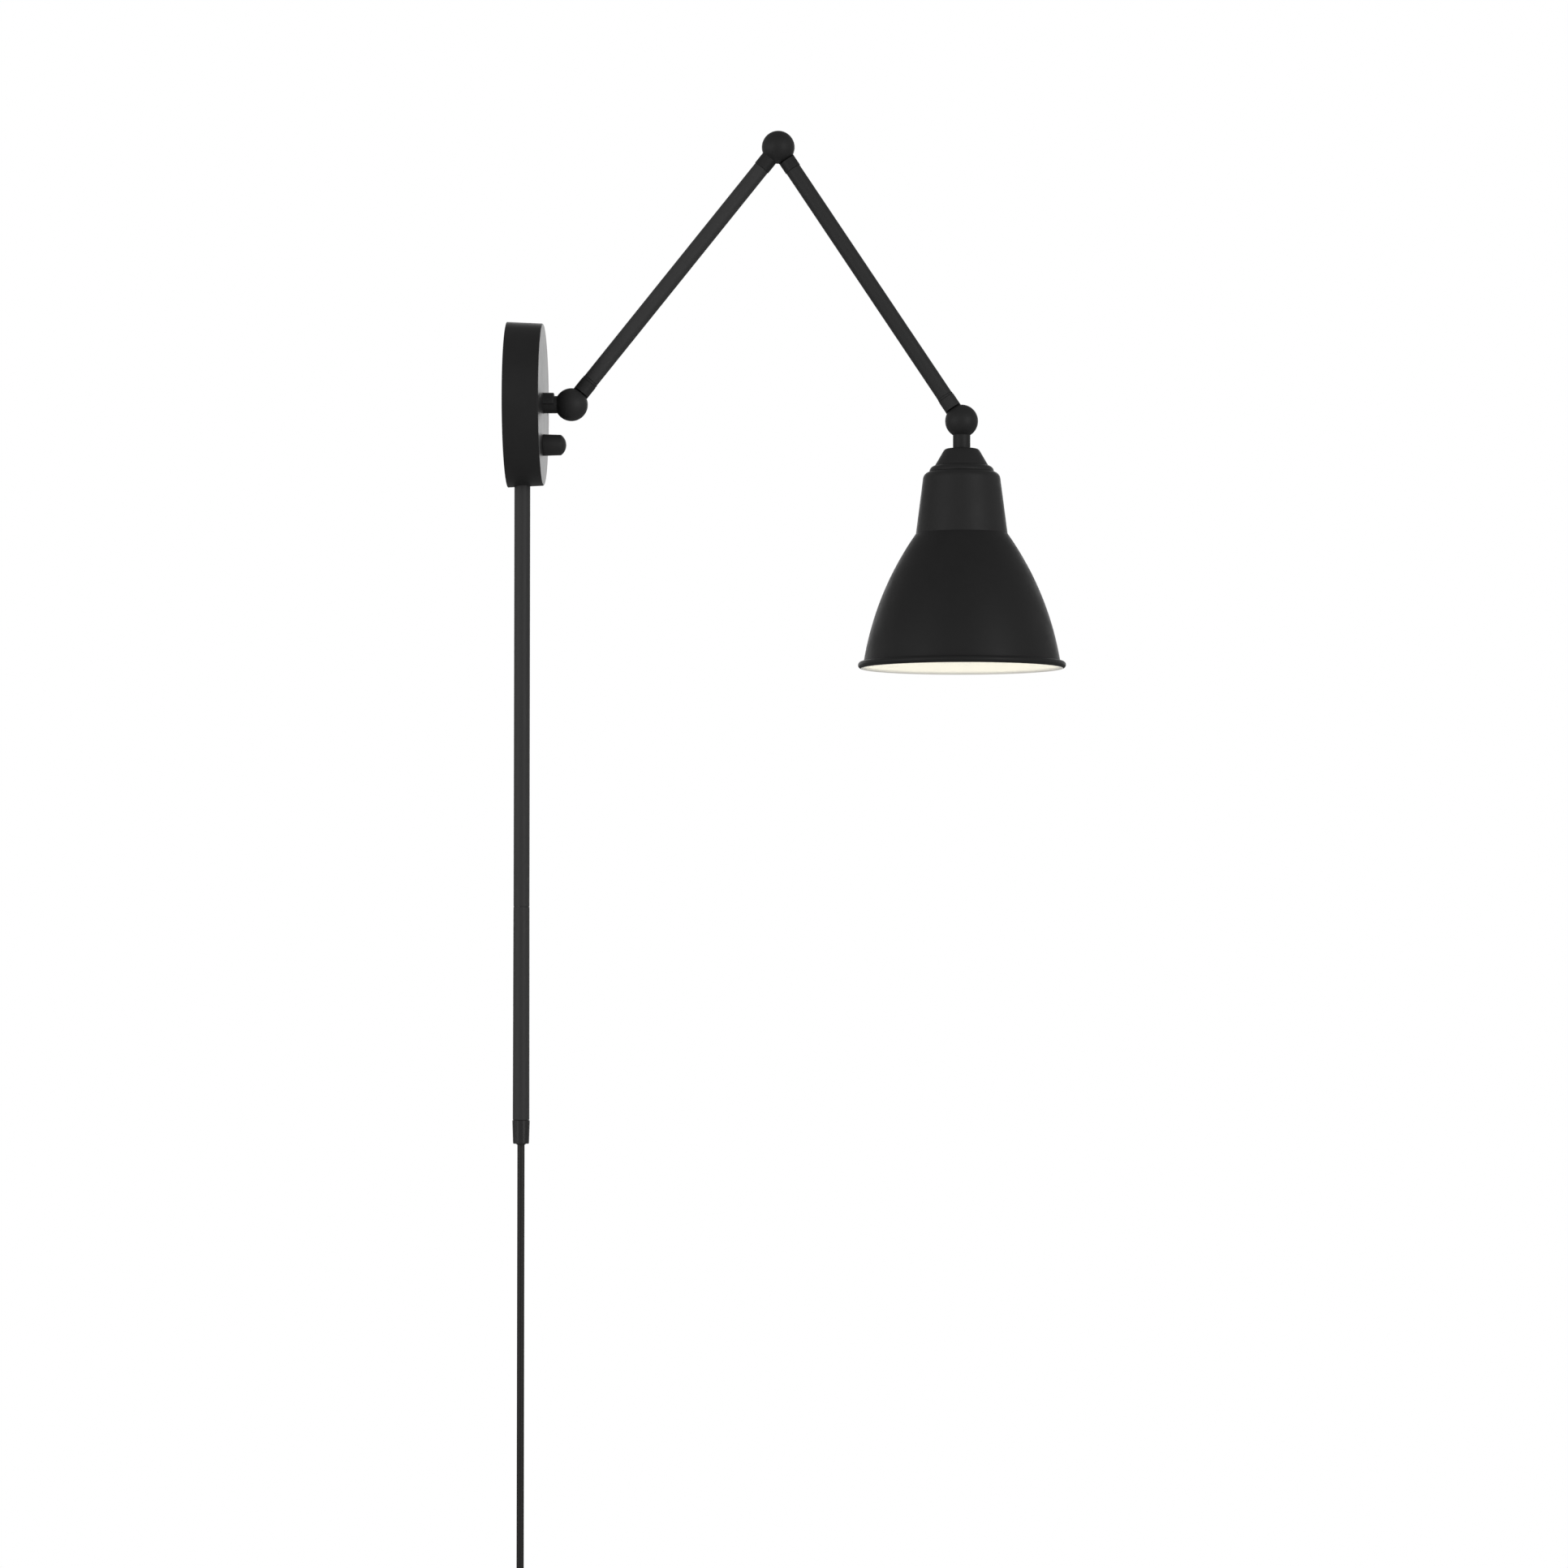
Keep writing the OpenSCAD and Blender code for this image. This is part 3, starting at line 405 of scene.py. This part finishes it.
# Cap, disc and cup sit on each other without the assembly gaps of the CAD
CAP_LEAN = 29.74
SHOULDER = (24.2, -45.9)
cap = [(5, -21.7)] + arc((11.2, -25.2), 3.5, 90, CAP_LEAN, 14)
cap += [(20.8, -34.75), (20.9, -35), (20.75, -35.12), (19.7, -35.12), (12.3, -24.1), (5, -23.1)]
disc = [(5, -40), (24.9, -40), (25.2, -39.7)]
disc += [(20 + 5.2 * c, -39.5 + 4.5 * h) for c, h in arc((0, 0), 1, 0, 90, 18)]
disc += [(5, -35)]
cup = [(5, -39.5), (18.3, -39.5)] + arc(SHOULDER, 6.1, 90, 7, 24)
cup += [(35.8, SEAM_Z), (34.9, SEAM_Z - 0.1)]
cup += arc(SHOULDER, 6.1 - WALL, 7, 90, 16) + [(18.3, -40.4), (5, -40.4)]
for name, outline, node in (("cap_cone", cap, "shade_cap"), ("cap_disc", disc, "cap_ring"),
                            ("cup_spun", cup, "socket_cup")):
    replace(lathe(name, outline, PIVOT, segments=160), node, "shade_head", "black_paint")

# ---- Knob ----

lo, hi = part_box("knob")
KNOB_DOME = 4.2
KNOB_TOP_R = 8.05
KNOB_BASE, KNOB_SIDE, KNOB_TIP = lo[0] / MM - 0.4, hi[0] / MM - KNOB_DOME, hi[0] / MM
dome_r = (KNOB_TOP_R ** 2 + KNOB_DOME ** 2) / (2 * KNOB_DOME)
half_angle = math.degrees(math.asin(KNOB_TOP_R / dome_r))
knob = [(7.3, KNOB_BASE), (8.4, KNOB_BASE), (8.45, KNOB_BASE + 0.1), (8.07, KNOB_SIDE - 0.25)]
knob += arc((0, KNOB_TIP - dome_r), dome_r, 90 - half_angle + 1.5, 90, 24)
knob += [(0, KNOB_TIP - 5.8), (3, KNOB_TIP - 5.8), (3, KNOB_BASE + 3.6), (7.3, KNOB_BASE + 3.6)]
replace(lathe("knob_turned", knob, Vector((0, 0, (lo[2] + hi[2]) / 2)), axis="X"),
        "knob", "knob_turn", "knob_plastic")

# ---- Conductors in the canopy ----

WIRE_BLACK = material("wire_black", (0.012, 0.012, 0.012), 0.4, grain=2600, bump=0.06)
WIRE_WHITE = material("wire_white", (0.8, 0.79, 0.76), 0.4, grain=2600, bump=0.06, color_var=0.02)


def stem_wire(side):
    return [(9, 15 * side, -10), (8, 13.5 * side, -15), (5.5, 9 * side, -15), (5, 4 * side, -8),
            (8, 1.4 * side, -1.5), (14.5, 1.3 * side, 0)]


WIRES = {
    "line": ([(COVER_X, -1.3, -50), (9.6, -3, -45), (9, -5, -41), (10.5, -5.5, -37.5),
              (14.5, -5.5, -36.5)], WIRE_BLACK),
    "neutral": ([(COVER_X, 1.3, -50), (8.5, 6, -44), (6.5, 12, -32), (7, 17.5, -20),
                 (9, 19, -10)], WIRE_WHITE),
    "switched": ([(14.5, -5.5, -27.5), (9, -7, -26.5), (6.5, -12, -22), (7, -17.5, -17),
                  (9, -19, -10)], WIRE_BLACK),
    "stem_line": (stem_wire(-1), WIRE_BLACK),
    "stem_neutral": (stem_wire(1), WIRE_WHITE),
}
for name, (route, look) in WIRES.items():
    w = tube("wire_" + name, [p * MM for p in smooth_path(route, 8)], 1.0 * MM)
    replace(w, "canopy_wires", "wall_base", "cord_pvc", look)

# ---- Plug and tie ----


def loft(name, sections, at, points=40):
    """Closed skin over rounded-rectangle sections (x, half width, half height, squareness)."""
    bm = bmesh.new()
    rings = []
    for x, hy, hz, n in sections:
        ring = []
        for k in range(points):
            a = 2 * math.pi * k / points
            c, q = math.cos(a), math.sin(a)
            y = hy * math.copysign(abs(c) ** (2 / n), c)
            z = hz * math.copysign(abs(q) ** (2 / n), q)
            ring.append(bm.verts.new(Vector(at) * MM + mm(x, y, z)))
        rings.append(ring)
    return skin(name, bm, rings, 40)


PLUG_AT = (135, -14, -933)
PLUG_LENGTH = 51
BLADE_LENGTH = 17
BLADE_THICK = 1.5


def plug_sections():
    """Ribbed strain relief that grows into the moulded body."""
    out = [(0, 2.95, 2.95, 2), (0.2, 3.4, 3.4, 2)]
    for k in range(5):
        x, r = 0.4 + 4.6 * k, 3.5 + 0.38 * k
        out += [(x + 0.2, r, r, 2), (x + 2.9, r + 0.25, r + 0.25, 2),
                (x + 3.1, r + 0.05, r + 0.05, 2), (x + 3.2, r - 0.7, r - 0.7, 2),
                (x + 4.3, r - 0.6, r - 0.6, 2), (x + 4.4, r + 0.1, r + 0.1, 2)]
    out += [(24, 5.5, 5.4, 2), (24.6, 6.6, 5.6, 2.2), (26, 8.6, 6.0, 2.6), (28, 10.4, 6.5, 3),
            (30.5, 11.4, 6.8, 3.4), (34, 11.8, 6.9, 3.6), (38, 11.5, 6.6, 3.6),
            (42, 11.5, 6.6, 3.8), (46, 12, 7.0, 4), (50, 12, 7.0, 4), (50.7, 11.8, 6.8, 4),
            (PLUG_LENGTH, 11.4, 6.4, 4)]
    return out


plug = loft("plug_moulding", plug_sections(), PLUG_AT)
replace(plug, "plug", "wall_base", "cord_pvc")


def blade(name, y, half_height):
    """Flat blade with a rounded tip and a round hole, as a filled outline."""
    cu = bpy.data.curves.new(name, "CURVE")
    cu.dimensions = "2D"
    cu.fill_mode = "BOTH"
    bevel = 0.15
    cu.extrude = (BLADE_THICK / 2 - bevel) * MM
    cu.bevel_depth = bevel * MM
    cu.bevel_resolution = 2
    tip = BLADE_LENGTH - bevel
    h = half_height - bevel
    outline = [(-6, -h), (tip - 2, -h), (tip - 0.6, -h + 0.6), (tip, -h + 2), (tip, h - 2),
               (tip - 0.6, h - 0.6), (tip - 2, h), (-6, h)]
    hole = [(12.2 + 1.6 * math.cos(a), 1.6 * math.sin(a))
            for a in (2 * math.pi * i / 24 for i in range(24))]
    for points in (outline, hole):
        s = cu.splines.new("POLY")
        s.use_cyclic_u = True
        s.points.add(len(points) - 1)
        for q, (u, v) in zip(s.points, points):
            q.co = (u * MM, v * MM, 0, 1)
    drawn = link(name + "_outline", cu)
    me = bpy.data.meshes.new_from_object(drawn.evaluated_get(bpy.context.evaluated_depsgraph_get()))
    bpy.data.objects.remove(drawn)
    me.transform(Matrix.Translation(mm(PLUG_AT[0] + PLUG_LENGTH, PLUG_AT[1] + y, PLUG_AT[2]))
                 @ Matrix.Rotation(math.pi / 2, 4, "X"))
    o = link(name, me)
    sharpen(o, SHARP)
    return o


blades = [blade("plug_blade_line", -6.35, 3.15), blade("plug_blade_neutral", 6.35, 3.95)]
for o in blades:
    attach(o, "wall_base")
    paint_with(o, BRASS)


STRAP_THICK = 0.45


def tie_strap():
    """A flat strap round the coil's section."""
    y0, y1 = COIL[1] + COIL_R[1] - CORD_R - STRAP_THICK, COIL[1] + COIL_R[0] + CORD_R + STRAP_THICK
    z0, z1 = FLOOR - STRAP_THICK, FLOOR + 11.8
    r = 2.6
    loop = []
    for cy, cz, a in ((y1 - r, z1 - r, 0), (y0 + r, z1 - r, 90), (y0 + r, z0 + r, 180),
                      (y1 - r, z0 + r, 270)):
        loop += arc((cy, cz), r, a, a + 90, 8)
    bm = bmesh.new()
    half = 4.0
    rows = [[bm.verts.new(mm(COIL[0] + x, y, z)) for y, z in loop] for x in (-half, half)]
    n = len(loop)
    for i in range(n):
        j = (i + 1) % n
        bm.faces.new((rows[0][i], rows[0][j], rows[1][j], rows[1][i])).smooth = True
    bmesh.ops.recalc_face_normals(bm, faces=bm.faces)
    o = from_bmesh("cord_strap", bm)
    solid = o.modifiers.new("thick", "SOLIDIFY")
    solid.thickness = STRAP_THICK * MM
    solid.offset = 0
    bevel = o.modifiers.new("edge", "BEVEL")
    bevel.width = 0.12 * MM
    bevel.segments = 2
    return o


STRAP = material("woven_strap", (0.02, 0.02, 0.021), 0.75, grain=3000, bump=0.4, sheen=0.2)
strap = tie_strap()
replace(strap, "cord_tie", "wall_base", "cord_pvc", STRAP)

# ---- Floor, light, world ----

floor_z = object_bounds()[0][2]
bm = bmesh.new()
bmesh.ops.create_grid(bm, x_segments=1, y_segments=1, size=20)
bm.transform(Matrix.Translation((0, 0, floor_z)))
floor = from_bmesh("floor", bm)


def seen_or_not(tree, seen, unseen, out):
    """The camera sees one shader, and reflections and bounces see the other."""
    path = tree.nodes.new("ShaderNodeLightPath")
    mix = tree.nodes.new("ShaderNodeMixShader")
    tree.links.new(path.outputs["Is Camera Ray"], mix.inputs["Fac"])
    tree.links.new(unseen, mix.inputs[1])
    tree.links.new(seen, mix.inputs[2])
    tree.links.new(mix.outputs["Shader"], out.inputs["Surface"])


floor_mat = bpy.data.materials.new("floor_white")
floor_mat.use_nodes = True
tree = floor_mat.node_tree
fb = tree.nodes["Principled BSDF"]
fb.inputs["Base Color"].default_value = (0.65, 0.65, 0.65, 1)
fb.inputs["Roughness"].default_value = 0.9
fb.inputs["Specular IOR Level"].default_value = 0.0
glow = tree.nodes.new("ShaderNodeEmission")
glow.inputs["Strength"].default_value = 1.0
seen_or_not(tree, glow.outputs["Emission"], fb.outputs["BSDF"], tree.nodes["Material Output"])
floor.data.materials.append(floor_mat)


def area_light(name, location, target, size, power, size_y=None):
    d = bpy.data.lights.new(name, "AREA")
    d.energy = power
    d.size = size
    if size_y:
        d.shape = "RECTANGLE"
        d.size_y = size_y
    o = link(name, d)
    o.location = location
    o.rotation_mode = "QUATERNION"
    o.rotation_quaternion = (Vector(target) - Vector(location)).to_track_quat("-Z", "Y")
    return o


CENTRE = (0.2, 0, -0.1)
area_light("key", (-2.4, -2.6, 0.0), CENTRE, 1.2, 9, 2.4)
area_light("side", (-3.2, -1.0, -0.1), CENTRE, 0.9, 4, 1.2)
area_light("fill", (2.6, -2.6, 0.2), CENTRE, 1.4, 14, 2.4)

# White all round for the camera. The object is lit from behind and from the sides.
world = bpy.data.worlds.new("world")
scene.world = world
world.use_nodes = True
tree = world.node_tree
white = tree.nodes["Background"]
white.inputs["Color"].default_value = (1, 1, 1, 1)
white.inputs["Strength"].default_value = 1.0
lit = tree.nodes.new("ShaderNodeBackground")
where = tree.nodes.new("ShaderNodeTexCoord")
split = tree.nodes.new("ShaderNodeSeparateXYZ")
tree.links.new(where.outputs["Generated"], split.inputs["Vector"])


def ramp_on(axis, low, high, at_low, at_high):
    """Light level that changes smoothly with one component of the direction."""
    n = tree.nodes.new("ShaderNodeMapRange")
    n.interpolation_type = "SMOOTHSTEP"
    n.inputs["From Min"].default_value = low
    n.inputs["From Max"].default_value = high
    n.inputs["To Min"].default_value = at_low
    n.inputs["To Max"].default_value = at_high
    tree.links.new(split.outputs[axis], n.inputs["Value"])
    return n.outputs["Result"]


level = tree.nodes.new("ShaderNodeMath")
level.operation = "MULTIPLY_ADD"
tree.links.new(ramp_on("Z", 0.1, 0.9, 1.0, 0.45), level.inputs[0])
level.inputs[1].default_value = 0.42
tree.links.new(ramp_on("Y", 0.8, 0.98, 0.0, 2.0), level.inputs[2])
tree.links.new(level.outputs["Value"], lit.inputs["Strength"])
seen_or_not(tree, white.outputs["Background"], lit.outputs["Background"],
            tree.nodes["World Output"])
scene.view_settings.view_transform = "Standard"
